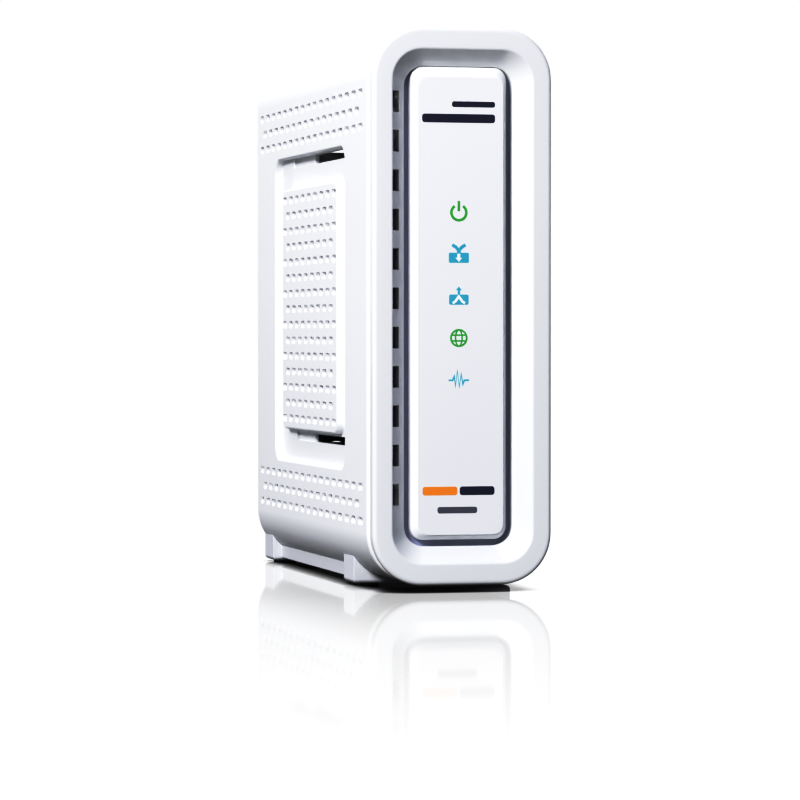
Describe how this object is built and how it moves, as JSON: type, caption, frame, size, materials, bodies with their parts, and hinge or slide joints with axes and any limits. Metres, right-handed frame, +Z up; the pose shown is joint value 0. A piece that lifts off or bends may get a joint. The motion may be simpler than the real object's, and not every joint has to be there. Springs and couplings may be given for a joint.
{
  "type": "cable modem",
  "caption": "Upright white cable modem with a framed front panel, vented side covers, a coax connector, an ethernet socket, a power socket and a reset plunger at the back.",
  "frame": {"origin": "on the table under the middle of the whole object", "axes": "+X to the right seen from the front, +Y towards the connectors at the back, +Z up"},
  "size_m": [0.0432, 0.141, 0.132],
  "materials": {
    "white_shell": "satin white ABS",
    "white_bezel": "glossy white ABS",
    "white_panel": "glossy white",
    "printed_film": "gloss polyester film",
    "dark_plastic": "matte black",
    "clear_plastic": "clear polycarbonate",
    "grey_plastic": "satin light grey",
    "foot_rubber": "matte",
    "label_film": "matte white label",
    "screw_steel": "zinc plated",
    "board_green": "solder mask",
    "chip_black": "moulded epoxy",
    "led_white": "lamp body",
    "pad_grey": "soft thermal pad",
    "heatsink_black": "black anodised",
    "tin_plate": "tin plated",
    "nickel": "nickel plated",
    "gold_contact": "gold plated",
    "white_insulator": "white insulator",
    "capacitor_sleeve": "sleeved can",
    "ferrite": "ferrite grey",
    "ceramic_chip": "sintered",
    "button_black": "matte"
  },
  "bodies": {
    "case": {"front_bezel": "white_bezel", "panel_carrier": "dark_plastic", "front_panel": "white_panel", "indicator_overlay": "printed_film", "light_guide": "clear_plastic", "left_cover": "white_shell", "right_cover": "white_shell", "rear_panel": "white_shell", "rear_screws": "screw_steel", "stand_base": "grey_plastic", "foot_pads": "foot_rubber", "rating_label": "label_film", "main_board": "board_green", "board_screws": "screw_steel", "status_leds": "led_white", "modem_chip": "chip_black", "thermal_pad": "pad_grey", "heatsink": "heatsink_black", "memory_chip": "chip_black", "flash_chip": "chip_black", "crystal": "tin_plate", "ethernet_magnetics": "chip_black", "power_inductor": "ferrite", "regulator_chip": "chip_black", "electrolytic_capacitors": "capacitor_sleeve", "chip_parts": "ceramic_chip", "tuner_shield": "tin_plate", "tuner_shield_lid": "tin_plate", "tuner_chip": "chip_black", "ethernet_shell": "tin_plate", "ethernet_housing": "dark_plastic", "ethernet_contacts": "gold_contact", "coax_connector": "nickel", "coax_washer": "nickel", "coax_nut": "nickel", "coax_insulator": "white_insulator", "coax_contact": "gold_contact", "power_jack": "dark_plastic", "power_jack_pin": "nickel", "reset_switch": "dark_plastic"},
    "reset_plunger": {"reset_button": "button_black"}
  },
  "joints": [
    {"name": "reset_press", "type": "slide", "parent": "case", "child": "reset_plunger", "axis": [0, -1, 0], "range_m": [0, 0.0003], "stiffness_N_per_m": 3000, "springref_m": -0.0002}
  ]
}
